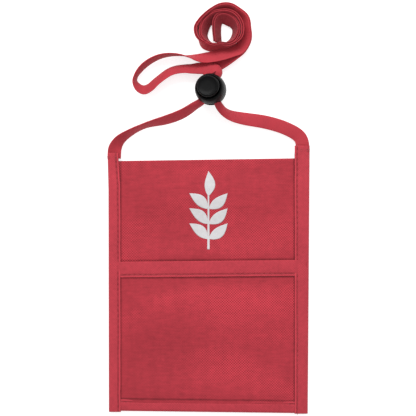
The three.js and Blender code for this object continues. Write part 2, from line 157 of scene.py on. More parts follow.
class PouchSettings(bpy.types.PropertyGroup):
    cloth_colour: colour_setting("Cloth", "Colour of the pouch's cloth", (0.372, 0.0292, 0.043))
    tape_colour: colour_setting(
        "Binding tape", "Colour of the binding tapes", (0.398, 0.0345, 0.05),
    )
    cloth_thickness: length_setting(
        "Cloth thickness", "Thickness of the pouch's cloth", 0.43, 0.1, 1.5,
    )
    tape_thickness: length_setting(
        "Tape thickness", "Thickness of the binding tapes", 0.42, 0.1, 1.5,
    )
    swell: FloatProperty(
        name="Swell", description="How far the soft panels stand proud, as a share",
        default=1.0, min=0.0, max=2.0,
    )


class StrapSettings(bpy.types.PropertyGroup):
    colour: colour_setting("Strap", "Colour of the woven strap", (0.376, 0.0275, 0.0405))
    width: length_setting("Width", "Width of the strap", 9, 4, 25)
    thickness: length_setting("Thickness", "Thickness of the strap", 0.9, 0.3, 2)
    spacing: length_setting(
        "Ring spacing", "Distance between the strap's cross sections", 0.8, 0.3, 4,
    )


class StitchSettings(bpy.types.PropertyGroup):
    colour: colour_setting("Thread", "Colour of the sewing thread", (0.34, 0.024, 0.036))
    pitch: length_setting("Pitch", "Distance from one stitch to the next", STITCH_PITCH, 1, 8)
    length: length_setting("Length", "Length of one stitch", 2.6, 0.5, 8)
    thickness: length_setting("Thread thickness", "Thickness of the thread", 0.6, 0.1, 1)


class LockSettings(bpy.types.PropertyGroup):
    colour: colour_setting("Plastic", "Colour of the cord lock", (0.002, 0.002, 0.0022))
    ribs: IntProperty(
        name="Ribs", description="Grip ribs round the lock's body", default=44, min=0, max=120,
    )
    rib_height: length_setting("Rib height", "Height of the grip ribs", 0.16, 0, 0.6)


class StudioSettings(bpy.types.PropertyGroup):
    view_width: FloatProperty(
        name="View width", description="Width of the view at the pouch", default=0.2766,
        min=0.05, max=2, unit="LENGTH",
    )
    lens: FloatProperty(
        name="Lens", description="Focal length", default=180, min=20, max=400, unit="CAMERA",
    )
    sky: FloatProperty(
        name="Room light", description="Strength of the even light", default=0.83, min=0, max=5,
    )
    softbox: FloatProperty(
        name="Softbox", description="Power of the softbox", default=13, min=0, max=100,
        unit="POWER",
    )


# ---- Shader maths ----

def operator(operation, swapped=False):
    """A method that adds one Math node. Swapped, it puts its own number last."""
    def method(self, *others):
        values = (*others, self) if swapped else (self, *others)
        return self.finish.math(operation, *values)
    return method


class Value:
    """A shader socket that carries a number. Arithmetic on it adds Math nodes."""

    def __init__(self, finish, socket):
        self.finish = finish
        self.socket = socket

    __add__, __radd__ = operator("ADD"), operator("ADD", swapped=True)
    __sub__, __rsub__ = operator("SUBTRACT"), operator("SUBTRACT", swapped=True)
    __mul__, __rmul__ = operator("MULTIPLY"), operator("MULTIPLY", swapped=True)
    sine, power, absolute = operator("SINE"), operator("POWER"), operator("ABSOLUTE")

    def between(self, low, high):
        """0 at low, 1 at high, held at both ends."""
        return self.finish.add(
            "ShaderNodeMapRange", {"clamp": True},
            {"Value": self, "From Min": low, "From Max": high},
        )


class Finish:
    """A procedural material on one Principled shader."""

    def __init__(self, name, **constants):
        self.material = bpy.data.materials.new(name)
        self.material.use_nodes = True
        self.tree = self.material.node_tree
        self.tree.nodes.clear()
        self.shader = self.tree.nodes.new("ShaderNodeBsdfPrincipled")
        self.output = self.tree.nodes.new("ShaderNodeOutputMaterial")
        self.tree.links.new(self.shader.outputs[0], self.output.inputs["Surface"])
        for socket, value in constants.items():
            self.shader.inputs[socket.replace("_", " ")].default_value = value

    def set(self, socket, value):
        if isinstance(value, Value):
            self.tree.links.new(value.socket, socket)
        elif hasattr(value, "__len__") and socket.type == "RGBA" and len(value) == 3:
            socket.default_value = (*value, 1)
        else:
            socket.default_value = value

    def add(self, kind, settings=None, inputs=None, output=0):
        node = self.tree.nodes.new(kind)
        for name, value in (settings or {}).items():
            setattr(node, name, value)
        for name, value in (inputs or {}).items():
            self.set(node.inputs[name], value)
        return Value(self, node.outputs[output])

    def math(self, operation, *values):
        return self.add("ShaderNodeMath", {"operation": operation}, dict(enumerate(values)))

    def mix(self, factor, first, second):
        settings = {"data_type": "RGBA", "blend_type": "MIX"}
        return self.add("ShaderNodeMix", settings, {0: factor, 6: first, 7: second}, 2)

    def dyed(self, tone, colour, dark, pale):
        """The colour, from its dark share to its pale one as tone goes from 0 to 1."""
        return self.mix(tone, tinted(colour, dark), tinted(colour, pale))

    def place(self, from_uv):
        """(across, along, vector): metres on the surface, or the piece's own x and y."""
        if from_uv:
            vector = self.add("ShaderNodeUVMap", {"uv_map": "weave"})
        else:
            vector = self.add("ShaderNodeTexCoord", output="Object")
        parts = self.add("ShaderNodeSeparateXYZ", inputs={"Vector": vector})
        node = parts.socket.node
        return parts, Value(self, node.outputs["Y"]), vector

    def stretched(self, vector, scale):
        return self.add(
            "ShaderNodeVectorMath", {"operation": "MULTIPLY"}, {0: vector, 1: scale},
        )

    def noise(self, vector, scale, detail=3.0, roughness=0.5):
        return self.add(
            "ShaderNodeTexNoise",
            inputs={"Vector": vector, "Scale": scale, "Detail": detail, "Roughness": roughness},
        )

    def bump(self, height, strength, distance):
        normal = self.add(
            "ShaderNodeBump", inputs={"Strength": strength, "Distance": distance, "Height": height},
        )
        self.set(self.shader.inputs["Normal"], normal)

    def feed(self, **values):
        for socket, value in values.items():
            self.set(self.shader.inputs[socket.replace("_", " ")], value)
        return self.material


def tinted(colour, share):
    return tuple(min(1.0, c * share) for c in colour)


def diamonds_of(across, along, pitch):
    """A diamond grain from -1 to 1, with that pitch in metres."""
    grain = 2 * math.pi / pitch
    return (across * grain).sine() * (along * grain).sine()


def woven_cloth(name, colour, shade_lines):
    """Fine woven polyester: a diamond grain that shows in patches, over fine yarns, with painted
    shade along lines beside the tapes. A shade line is (x share, y share, place, width) of a
    straight line."""
    finish = Finish(name, Sheen_Weight=0.03, Sheen_Roughness=0.6, Specular_IOR_Level=0.16)
    across, along, vector = finish.place(False)
    diamonds = diamonds_of(across, along, 1.75e-3)
    banded = finish.stretched(vector, (0.35, 1.0, 1.0))
    patches = finish.noise(banded, 34, 2).between(0.44, 0.68)
    streaks = finish.noise(finish.stretched(vector, (1.0, 0.12, 1.0)), 210, 3)
    threads = finish.noise(finish.stretched(vector, (0.2, 1.0, 1.0)), 700, 2)
    yarns = diamonds_of(across, along, 0.5e-3)
    mottle = finish.noise(vector, 260, 4, 0.7)
    broad = finish.noise(banded, 26, 2)
    tone = 0.43 + diamonds * (0.07 + patches) + patches * 0.26 + (mottle - 0.5) * 0.6
    tone = tone + (broad - 0.5) * 0.5 + (streaks - 0.5) * 0.3 + (threads - 0.5) * 0.45
    # Painted shade along each line, darkest on it, where the cloth meets a tape's edge.
    for x_share, y_share, place, width in shade_lines:
        from_line = (across * x_share + along * y_share - place).absolute()
        tone = tone - (1 - from_line.between(0, width)) * 0.6
    colour_mix = finish.dyed(tone.between(-0.3, 1.3), colour, 0.42, 1.58)
    finish.bump(diamonds * (patches + 0.2) + yarns * 0.4 + mottle * 0.8, 0.4, 0.14e-3)
    return finish.feed(Base_Color=colour_mix, Roughness=0.78 + (mottle - 0.5) * 0.2)


def folded_tape(name, colour):
    """The same cloth cut as tape, with painted shade in its sewn groove and at its open edge and a
    painted highlight on the rim between them. The first coordinate is the distance from the open
    edge."""
    finish = Finish(name, Sheen_Weight=0.04, Sheen_Roughness=0.6, Specular_IOR_Level=0.16)
    across, along, vector = finish.place(True)
    diamonds = diamonds_of(across, along, 1.6e-3)
    patches = finish.noise(finish.stretched(vector, (1.0, 0.5, 1.0)), 60, 3).between(0.4, 0.66)
    mottle = finish.noise(vector, 420, 4, 0.7)
    broad = finish.noise(vector, 50, 3)
    needle = (along * (2 * math.pi / (STITCH_PITCH * MM))).sine() * 0.5 + 0.5
    # Painted shade in the sewn groove and at the open edge, and a painted highlight on the rim
    # between them.
    groove = 1 - (across - GROOVE_FROM_EDGE * MM).absolute().between(0.25e-3, 0.85e-3)
    rim_highlight = 1 - (across - 0.75e-3).absolute().between(0.1e-3, 0.6e-3)
    edge = 1 - across.between(0.0, 0.35e-3)
    tone = 0.5 + diamonds * (0.06 + patches * 0.26) + (mottle - 0.5) * 0.8
    tone = tone + (broad - 0.5) * 0.6 - groove * (0.36 + needle * 0.12) + rim_highlight * 0.3 - edge * 0.6
    colour_mix = finish.dyed(tone.between(-0.3, 1.3), colour, 0.42, 1.58)
    finish.bump(diamonds * (patches + 0.2) + mottle * 0.8 - groove, 0.4, 0.14e-3)
    return finish.feed(Base_Color=colour_mix, Roughness=0.76 + (mottle - 0.5) * 0.2)


def woven_strap(name, colour):
    """Flat woven strap: fine ribs across it, faint lines along it, paler worn edges, and painted
    shade that darkens it inside the roll."""
    finish = Finish(name, Sheen_Weight=0.04, Sheen_Roughness=0.5, Specular_IOR_Level=0.2)
    across, along, vector = finish.place(True)
    ribs = (along * (2 * math.pi / 0.9e-3)).sine()
    lines = (across * (2 * math.pi / 0.75e-3)).sine()
    worn = across.absolute().between(3.4e-3, 4.5e-3)
    mottle = finish.noise(vector, 160, 4, 0.6)
    broad = finish.noise(vector, 30, 2)
    tone = 0.45 + lines * 0.14 + ribs * 0.08 + (mottle - 0.5) * 0.8 + (broad - 0.5) * 0.6
    # Painted shade inside the roll: darker nearer the roll's axis, standing in for the shadow among
    # its coils.
    east, north, _ = finish.place(False)
    east, north = east - ROLL_CENTRE[0] * MM, north - ROLL_CENTRE[1] * MM
    from_axis = (east.power(2) + north.power(2)).power(0.5)
    tone = tone + worn * 0.25 - (1 - from_axis.between(9.5e-3, 16e-3)) * 0.95
    colour_mix = finish.dyed(tone.between(-1, 1), colour, 0.4, 1.2)
    finish.bump(ribs * 0.5 + lines * 0.5 + mottle * 0.5, 0.4, 0.14e-3)
    return finish.feed(Base_Color=colour_mix, Roughness=0.72 + (mottle - 0.5) * 0.2)


def twisted_thread(name, colour):
    finish = Finish(name, Sheen_Weight=0.2, Specular_IOR_Level=0.35)
    across, along, vector = finish.place(False)
    twist = ((across + along) * (2 * math.pi / 0.35e-3)).sine()
    fuzz = finish.noise(vector, 1500, 3)
    tone = 0.5 + twist * 0.3 + (fuzz - 0.5) * 0.6
    colour_mix = finish.dyed(tone.between(0, 1), colour, 0.75, 1.25)
    finish.bump(twist * 0.6 + fuzz * 0.4, 0.5, 0.05e-3)
    return finish.feed(Base_Color=colour_mix, Roughness=0.6 + (fuzz - 0.5) * 0.2)


def screen_ink(name):
    """Pale ink that sits in the cloth's grain, thinner in places."""
    finish = Finish(name, Specular_IOR_Level=0.3)
    across, along, vector = finish.place(False)
    weave = diamonds_of(across, along, 1.1e-3)
    thin = finish.noise(vector, 420, 4, 0.6).between(0.25, 0.75)
    mottle = finish.noise(vector, 60, 3)
    tone = thin * 0.5 + weave * 0.12 + mottle * 0.5
    colour_mix = finish.mix(tone.between(0, 1), (0.47, 0.45, 0.46, 1), (0.60, 0.595, 0.605, 1))
    finish.bump(weave * 0.6 + thin * 0.4, 0.35, 0.08e-3)
    return finish.feed(Base_Color=colour_mix, Roughness=0.5 + mottle * 0.2)


def moulded_plastic(name, colour):
    """Black moulded plastic with a fine grain, dulled and scuffed where fingers touch it."""
    finish = Finish(name, Specular_IOR_Level=0.075)
    _, _, vector = finish.place(False)
    scuffs = finish.noise(vector, 320, 5, 0.7).between(0.5, 0.8)
    grain = finish.noise(vector, 3200, 2)
    broad = finish.noise(vector, 90, 2)
    base = finish.dyed(scuffs * 0.5, colour, 1, 2.2)
    finish.bump(grain, 0.12, 0.04e-3)
    return finish.feed(Base_Color=base, Roughness=0.3 + scuffs * 0.14 + broad * 0.12)


def clear_vinyl(name):
    """Soft clear film: mostly see-through, with faint haze and finger marks."""
    finish = Finish(name, Specular_IOR_Level=0.5)
    _, _, vector = finish.place(False)
    haze = finish.noise(vector, 35, 3).between(0.3, 0.8)
    marks = finish.noise(vector, 240, 4, 0.7).between(0.55, 0.75)
    finish.bump(finish.noise(vector, 18, 2), 0.5, 0.4e-3)
    base = finish.mix(haze, (0.82, 0.85, 0.87, 1), (0.92, 0.93, 0.94, 1))
    return finish.feed(
        Base_Color=base, Roughness=0.06 + marks * 0.2, Alpha=0.16 + haze * 0.1 + marks * 0.06,
    )


def hook_pile(name, colour):
    finish = Finish(name, Sheen_Weight=0.4, Specular_IOR_Level=0.2)
    across, along, vector = finish.place(False)
    rows = diamonds_of(across, along, 1.3e-3)
    pile = finish.noise(vector, 1400, 4, 0.7)
    tone = 0.4 + rows * 0.3 + (pile - 0.5) * 0.9
    colour_mix = finish.dyed(tone.between(0, 1), colour, 0.6, 1.2)
    finish.bump(rows * 0.5 + pile, 0.8, 0.2e-3)
    return finish.feed(Base_Color=colour_mix, Roughness=0.85 + rows * 0.05)


def spring_steel(name):
    finish = Finish(name, Metallic=1.0)
    _, _, vector = finish.place(False)
    draw = finish.noise(vector, 900, 4, 0.6)
    base = finish.mix(draw, (0.42, 0.43, 0.45, 1), (0.62, 0.63, 0.65, 1))
    finish.bump(draw, 0.2, 0.03e-3)
    return finish.feed(Base_Color=base, Roughness=0.22 + draw * 0.18)


def pale_floor(name):
    finish = Finish(name, Specular_IOR_Level=0.1)
    _, _, vector = finish.place(False)
    cloud = finish.noise(vector, 3, 2)
    base = finish.mix(cloud, (0.56, 0.56, 0.56, 1), (0.58, 0.58, 0.58, 1))
    finish.shader.inputs["Emission Strength"].default_value = FLOOR_GLOW
    return finish.feed(
        Base_Color=base, Emission_Color=(1, 1, 1, 1), Roughness=0.85 + cloud * 0.05,
    )


def finish_named(name, maker, *details):
    """The material of that name, made the first time that it is asked for."""
    return bpy.data.materials.get(name) or maker(name, *details)


def settings(name):
    return getattr(bpy.context.scene, f"{name}_settings")


# ---- Mesh helpers ----

def placed(name, mesh):
    piece = bpy.data.objects.new(name, mesh)
    bpy.context.scene.collection.objects.link(piece)
    return piece


def declared(piece, body, slot, *nodes):
    """Say which body the piece moves with and the nodes that it stands for. The material slot is
    not used.
    """
    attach(piece, body)
    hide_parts(*nodes)


def band_faces(rings, corners, first=0):
    """Faces between rings of that many corners, numbered one after another from first."""
    faces = []
    for start in range(first, first + (rings - 1) * corners, corners):
        for c in range(corners):
            d = (c + 1) % corners
            faces.append((start + c, start + d, start + corners + d, start + corners + c))
    return faces


def new_piece(name, vertices, faces, material, uvs=None, smooth=True):
    """A mesh object of these points; uvs holds one (u, v) for each vertex, in metres."""
    mesh = bpy.data.meshes.new(name)
    mesh.from_pydata([tuple(map(float, v)) for v in vertices], [], faces)
    if uvs is not None:
        layer = mesh.uv_layers.new(name="weave")
        corners = np.empty(len(mesh.loops), np.int32)
        mesh.loops.foreach_get("vertex_index", corners)
        layer.data.foreach_set("uv", np.asarray(uvs, np.float32)[corners].ravel())
    mesh.materials.append(material)
    mesh.polygons.foreach_set("use_smooth", [smooth] * len(mesh.polygons))
    mesh.update()
    return placed(name, mesh)


def face_outwards(piece):
    work = bmesh.new()
    work.from_mesh(piece.data)
    bmesh.ops.recalc_face_normals(work, faces=work.faces)
    work.to_mesh(piece.data)
    work.free()
    return piece


def eased(values, low, high):
    """0 below low, 1 above high, and smooth between them."""
    share = np.clip((np.asarray(values, float) - low) / (high - low), 0, 1)
    return share * share * (3 - 2 * share)


def soft_profile(place, stops):
    """A height at each place, that eases from stop to stop: stops are (place, height)."""
    place = np.asarray(place, float)
    height = np.full(place.shape, float(stops[0][1]))
    for (low, _), (high, _), rise in zip(stops, stops[1:], np.diff([h for _, h in stops])):
        height = height + rise * eased(place, low, high)
    return height


def ripple(x, y, size, seed):
    """Smooth noise from -1 to 1, with lumps of that size, at each of these places."""
    flat = [
        noise.noise(Vector((a / size, b / size, seed))) for a, b in zip(np.ravel(x), np.ravel(y))
    ]
    return np.reshape(flat, np.shape(x))


def sheet_mesh(name, middle, thickness, material):
    """A closed sheet about a grid of middle points (rows, columns, 3), with metres as its UVs."""
    rows, columns = middle.shape[:2]
    down = np.gradient(middle, axis=0)
    over = np.gradient(middle, axis=1)
    normal = np.cross(over, down)
    normal /= np.linalg.norm(normal, axis=2, keepdims=True)
    size = rows * columns
    index = np.arange(size).reshape(rows, columns)
    faces = []
    for a in index[:-1, :-1].ravel():
        b, d, e = a + 1, a + columns + 1, a + columns
        faces += [(a, b, d, e), (e + size, d + size, b + size, a + size)]
    ring = [*index[0, :-1], *index[:-1, -1], *index[-1, :0:-1], *index[:0:-1, 0]]
    for a, b in zip(ring, ring[1:] + ring[:1]):
        faces.append((b, a, a + size, b + size))
    points = np.concatenate([
        (middle + normal * thickness / 2).reshape(-1, 3),
        (middle - normal * thickness / 2).reshape(-1, 3),
    ])
    step_down = np.linalg.norm(np.diff(middle, axis=0, prepend=middle[:1]), axis=2)
    step_over = np.linalg.norm(np.diff(middle, axis=1, prepend=middle[:, :1]), axis=2)
    along = np.cumsum(step_down, axis=0).ravel()
    across = np.cumsum(step_over, axis=1).ravel()
    uvs = np.tile(np.stack([across, along], axis=1), (2, 1))
    faces = [tuple(int(i) for i in face) for face in faces]
    return face_outwards(new_piece(name, points, faces, material, uvs))


def swept(name, rings, across, along, material):
    """A closed band: rings (stations, corners, 3) joined in order, with a fan over each end."""
    stations, corners = rings.shape[:2]
    points = rings.reshape(-1, 3)
    faces = band_faces(stations, corners)
    for start in (0, (stations - 1) * corners):
        for c in range(corners // 2 - 1):
            faces.append((
                start + c, start + c + 1, start + corners - 2 - c, start + corners - 1 - c,
            ))
    uvs = np.stack([np.ravel(across), np.ravel(along)], axis=1)
    return face_outwards(new_piece(name, points, faces, material, uvs))


def catmull(rows, step):
    """Rows evenly step apart on a centripetal Catmull-Rom curve; x, y and z set the distance."""
    rows = np.asarray(rows, float)
    ends = np.concatenate([[2 * rows[0] - rows[1]], rows, [2 * rows[-1] - rows[-2]]])
    found = []
    for i in range(1, len(ends) - 2):
        p = ends[i - 1:i + 3]
        gaps = np.sqrt(np.maximum(np.linalg.norm(np.diff(p[:, :3], axis=0), axis=1), 1e-9))
        t = np.concatenate([[0], np.cumsum(gaps)])
        u = np.linspace(t[1], t[2], 24, endpoint=False)[:, None]
        a = [((t[k + 1] - u) * p[k] + (u - t[k]) * p[k + 1]) / (t[k + 1] - t[k]) for k in range(3)]
        b = [((t[k + 2] - u) * a[k] + (u - t[k]) * a[k + 1]) / (t[k + 2] - t[k]) for k in range(2)]
        found.append(((t[2] - u) * b[0] + (u - t[1]) * b[1]) / (t[2] - t[1]))
    dense = np.concatenate([*found, rows[-1:]])
    length = np.concatenate([
        [0], np.cumsum(np.linalg.norm(np.diff(dense[:, :3], axis=0), axis=1)),
    ])
    places = np.linspace(0, length[-1], max(2, round(length[-1] / step) + 1))
    return np.stack([np.interp(places, length, column) for column in dense.T], axis=1), places


# ---- The pouch's shape, in millimetres ----

LEFT_TOP, RIGHT_TOP = 84.1, 88.9
LEFT_BOTTOM, RIGHT_BOTTOM = -87.1, -88.8
LEFT_OUTER = [(-90, -66.1), (60, -66.4), (84.1, -67.0)]
LEFT_INNER = [(-90, -58.1), (60, -58.3), (84.1, -59.8)]
RIGHT_OUTER = [(-90, 65.9), (0, 66.6), (88.9, 67.2)]
RIGHT_INNER = [(-90, 57.1), (88.9, 57.1)]
PANEL_HALF_WIDTH = 65.2
BACK_HEIGHT = 1.52
WINDOW_HEIGHT = 0.66
FRONT_HEIGHT = 2.85
FRONT_SKIN = 0.22
INK_PROUD = 0.07
POCKET_HEIGHT = 3.72
TACK_HEIGHT = 3.78
SIDE_TAPE_HEIGHT = 4.4
SIDE_TAPE_DROP = 0.62


def at(stops, place):
    return np.interp(place, *zip(*stops))


def sloped(left, right):
    """A line across the pouch, from its height at the left fold to that at the right one."""
    return lambda x: np.interp(x, (-66, 66), (left, right))


bottom_edge = sloped(LEFT_BOTTOM, RIGHT_BOTTOM)
mouth_fold = sloped(11.8, 13.1)
mouth_open_edge = sloped(1.2, 2.4)
panel_top = sloped(78.6, 80.6)


def side_tape_top(y):
    """Top of the side tapes, which are thicker where they also hold the pocket."""
    return SIDE_TAPE_HEIGHT - SIDE_TAPE_DROP * float(eased(y, -2, 16))


def between_tapes(x):
    """1 on the panels' free middle, easing to 0 at the side tapes."""
    return eased(x, -59, -44) * (1 - eased(x, 43, 58))


def front_height(x, y):
    """Middle of the front cloth: it swells below the opening and dips above the pocket's mouth."""
    rise = soft_profile(y, [
        (-88, -0.12), (6, -0.1), (12, 0.1), (16, 0.25), (29, -0.8), (35, -0.8), (57, 1.05),
        (60, 1.05), (74, 0.1), (80.6, 0.0),
    ])
    lumps = 0.22 * ripple(x, y, 34, 3.1) + 0.07 * ripple(x, y, 11, 8.2)
    free = eased(y, 12, 20) * (1 - eased(y, 71, 78))
    return FRONT_HEIGHT + settings("pouch").swell * between_tapes(x) * (rise + lumps * free)


def pocket_height(x, y):
    """Middle of the pocket's cloth: a slack, shallow swell between its tapes."""
    rise = soft_profile(y, [
        (-83, 0.1), (-75, 1.25), (-72, 1.25), (-56, 0.1), (-51, 0.1), (-27, 1.9), (-21, 1.9),
        (2, 0.0), (12, 0.0),
    ])
    lumps = 0.28 * ripple(x, y, 30, 5.7) + 0.07 * ripple(x, y, 10, 1.4)
    free = eased(y, -79, -70) * (1 - eased(y, -8, 0))
    return POCKET_HEIGHT + settings("pouch").swell * between_tapes(x) * (rise + lumps * free)


def panel_grid(low_edge, high_edge, height, spacing=1.1):
    """Points of a panel between the side tapes' folds, from one edge to the other, in metres."""
    columns = round(2 * PANEL_HALF_WIDTH / spacing) + 1
    across = np.linspace(-PANEL_HALF_WIDTH, PANEL_HALF_WIDTH, columns)
    rows = round(abs(np.mean(high_edge(across)) - np.mean(low_edge(across))) / spacing) + 1
    share = np.linspace(0, 1, rows)[:, None]
    y = low_edge(across) * (1 - share) + high_edge(across) * share
    x = np.broadcast_to(across, y.shape)
    return np.stack([x, y, height(x, y)], axis=2) * MM


def flat_at(height):
    return lambda x, y: np.full(np.shape(x), height)


class POUCH_OT_panels(bpy.types.Operator):
    """Make the back, front and pocket panels and the clear badge sleeve"""

    bl_idname = "pouch.panels"
    bl_label = "Cloth panels"

    def execute(self, context):
        pouch = settings("pouch")
        thick = pouch.cloth_thickness
        # Lines of painted shade on the cloth: beside both side tapes, above and below the mouth
        # tape, and above the bottom tape.
        sides = [(1, 0, -58.4 * MM, 1.4 * MM), (1, 0, 57.1 * MM, 1.4 * MM)]
        shade_above_mouth = (-0.0098, 1, 13.0 * MM, 1.3 * MM)
        shade_below_mouth = (-0.0091, 1, 1.3 * MM, 0.8 * MM)
        shade_above_foot = (0.0129, 1, -79.6 * MM, 1.0 * MM)
        plain, front, pocket = (
            finish_named(name, woven_cloth, pouch.cloth_colour, [*sides, *shade_lines])
            for name, shade_lines in (
                ("back_weave", ()), ("front_weave", (shade_above_mouth,)),
                ("pocket_weave", (shade_below_mouth, shade_above_foot)),
            )
        )

        def foot(x):
            return bottom_edge(x) + 2.2

        def back_top(x):
            return panel_top(x) - 0.8

        def under_mouth(x):
            return mouth_fold(x) - 1.4

        def window_top(x):
            return np.full(np.shape(x), 24.6)

        pieces = [
            ("back_cloth", "back_panel", back_top, flat_at(BACK_HEIGHT), thick, plain, 0.168),
            ("front_cloth", "front_panel", panel_top, front_height, thick, front, 0.169),
            ("pocket_cloth", "pocket_panel", under_mouth, pocket_height, thick, pocket, 0.101),
            ("sleeve_film", "badge_window", window_top, flat_at(WINDOW_HEIGHT), 0.3 * MM,
             finish_named("sleeve_film_finish", clear_vinyl), 0.113),
        ]
        for name, node, top, height, thickness, material, length in pieces:
            piece = sheet_mesh(name, panel_grid(foot, top, height), thickness, material)
            slot = "clear_vinyl" if name == "sleeve_film" else "pouch_fabric"
            declared(piece, "pouch", slot, node)
        return {"FINISHED"}


# ---- Binding tapes ----

def tape_section(width, low, high, thickness, dimple=1.0):
    """A tape folded round an edge, seen end on, as (in from the fold, height) points: out along
    the lower leg, round the fold and back along the upper leg with its sewn groove. The first
    half is the outer skin and the second is the inner one, run back."""
    half = (high - low) / 2
    curl = min(half, 1.7)
    lower = [(u, low) for u in np.linspace(width - 0.4, curl + 0.6, 5)]
    turn = np.linspace(-math.pi / 2, math.pi / 2, 11)
    fold = [(curl * (1 - math.cos(a)), low + half * (1 + math.sin(a))) for a in turn]
    upper = []
    for u in np.linspace(curl + 0.35, width, 27):
        crown = 0.16 * math.sin(math.pi * (u - curl) / (width - curl))
        off_groove = (u - (width - GROOVE_FROM_EDGE)) / 0.42
        groove = 0.46 * dimple * math.exp(-off_groove * off_groove)
        rolled_edge = 0.22 * max(0, (u - width + 0.7) / 0.7) ** 2
        upper.append((u, high + crown - groove - rolled_edge))
    outer = np.array(lower + fold + upper)
    run = np.gradient(outer, axis=0)
    run /= np.linalg.norm(run, axis=1, keepdims=True)
    inner = outer + np.stack([run[:, 1], -run[:, 0]], axis=1) * thickness
    length = np.concatenate([[0], np.cumsum(np.linalg.norm(np.diff(outer, axis=0), axis=1))])
    from_edge = length[-1] - length
    section = np.concatenate([outer, inner[::-1]])
    return section, np.concatenate([from_edge, from_edge[::-1]])


def make_tape(name, stations, seed, node):
    """A folded tape along stations: (fold's point, open edge's point, low, high) in mm."""
    thickness = settings("pouch").tape_thickness / MM
    pitch = settings("stitch").pitch / MM
    rings, across, along = [], [], []
    travelled, last = 0.0, None
    for fold, edge, low, high in stations:
        fold, edge = np.array(fold, float), np.array(edge, float)
        if last is not None:
            travelled += float(np.linalg.norm(fold - last))
        last = fold
        width = float(np.linalg.norm(edge - fold))
        wander = 0.16 * noise.noise(Vector((travelled / 9, seed, 0)))
        wander += 0.05 * noise.noise(Vector((travelled / 2.4, seed, 4)))
        lift = 0.14 * noise.noise(Vector((travelled / 14, seed, 9)))
        dimple = 0.8 + 0.3 * math.cos(2 * math.pi * travelled / pitch)
        section, length = tape_section(width + wander, low, high + lift, thickness, dimple)
        inward = (edge - fold) / width
        ring = np.empty((len(section), 3))
        ring[:, :2] = fold + inward * section[:, :1]
        ring[:, 2] = section[:, 1]
        rings.append(ring * MM)
        across.append(length * MM)
        along.append(np.full(len(length), travelled * MM))
    cloth = finish_named("binding_cloth", folded_tape, settings("pouch").tape_colour)
    piece = swept(name, np.array(rings), across, along, cloth)
    declared(piece, "pouch", "binding_tape", node)


def side_stations(outer, inner, bottom, top):
    for y in np.linspace(bottom, top, round((top - bottom) / STATION_STEP) + 1):
        high = side_tape_top(y)
        low = 0.02 + 0.5 * float(eased(y, top - 6, top))
        yield (at(outer, y), y), (at(inner, y), y), low, high - 0.1 * float(eased(y, 80, 90))


def cross_stations(fold, edge, ends, low, high, tucked_low, tucked_high):
    """Stations of a tape that runs across, with its two ends pressed flatter under others."""
    first, last = ends
    for x in np.linspace(first, last, round((last - first) / STATION_STEP) + 1):
        free = float(eased(x, first + 2, first + 9) * (1 - eased(x, last - 9, last - 2)))
        yield (
            (x, float(fold(x))), (x, float(edge(x))),
            tucked_low + (low - tucked_low) * free, tucked_high + (high - tucked_high) * free,
        )


class POUCH_OT_tapes(bpy.types.Operator):
    """Make the folded binding tapes round the pouch, on its mouth and on the badge sleeve"""

    bl_idname = "pouch.tapes"
    bl_label = "Binding tapes"

    def execute(self, context):
        left = side_stations(LEFT_OUTER, LEFT_INNER, LEFT_BOTTOM - 0.6, LEFT_TOP)
        right = side_stations(RIGHT_OUTER, RIGHT_INNER, RIGHT_BOTTOM - 0.1, RIGHT_TOP)
        bottom = cross_stations(
            bottom_edge, lambda x: bottom_edge(x) + 8.0, (-63.4, 63.4), 0.05, 4.1, 0.5, 3.85,
        )
        mouth = cross_stations(
            mouth_fold, mouth_open_edge, (-64.0, 64.0), 3.15, 4.35, 3.15, 3.75,
        )
        sleeve = cross_stations(
            lambda x: 26.0, lambda x: 18.2, (-64.0, 64.0), 0.1, 1.22, 0.5, 1.2,
        )
        make_tape("left_tape", left, 0.31, "left_binding")
        make_tape("right_tape", right, 1.42, "right_binding")
        make_tape("bottom_tape", bottom, 2.53, "bottom_binding")
        make_tape("mouth_tape", mouth, 3.64, "mouth_binding")
        make_tape("sleeve_tape", sleeve, 4.75, "badge_window_binding")
        return {"FINISHED"}


# ---- Stitches ----

def add_node(tree, kind, settings=None, inputs=None):
    """A new node, its settings made before its inputs are linked or given a number."""
    node = tree.nodes.new(kind)
    for name, value in (settings or {}).items():
        setattr(node, name, value)
    for name, value in (inputs or {}).items():
        if isinstance(value, bpy.types.NodeSocket):
            tree.links.new(value, node.inputs[name])
        else:
            node.inputs[name].default_value = value
    return node


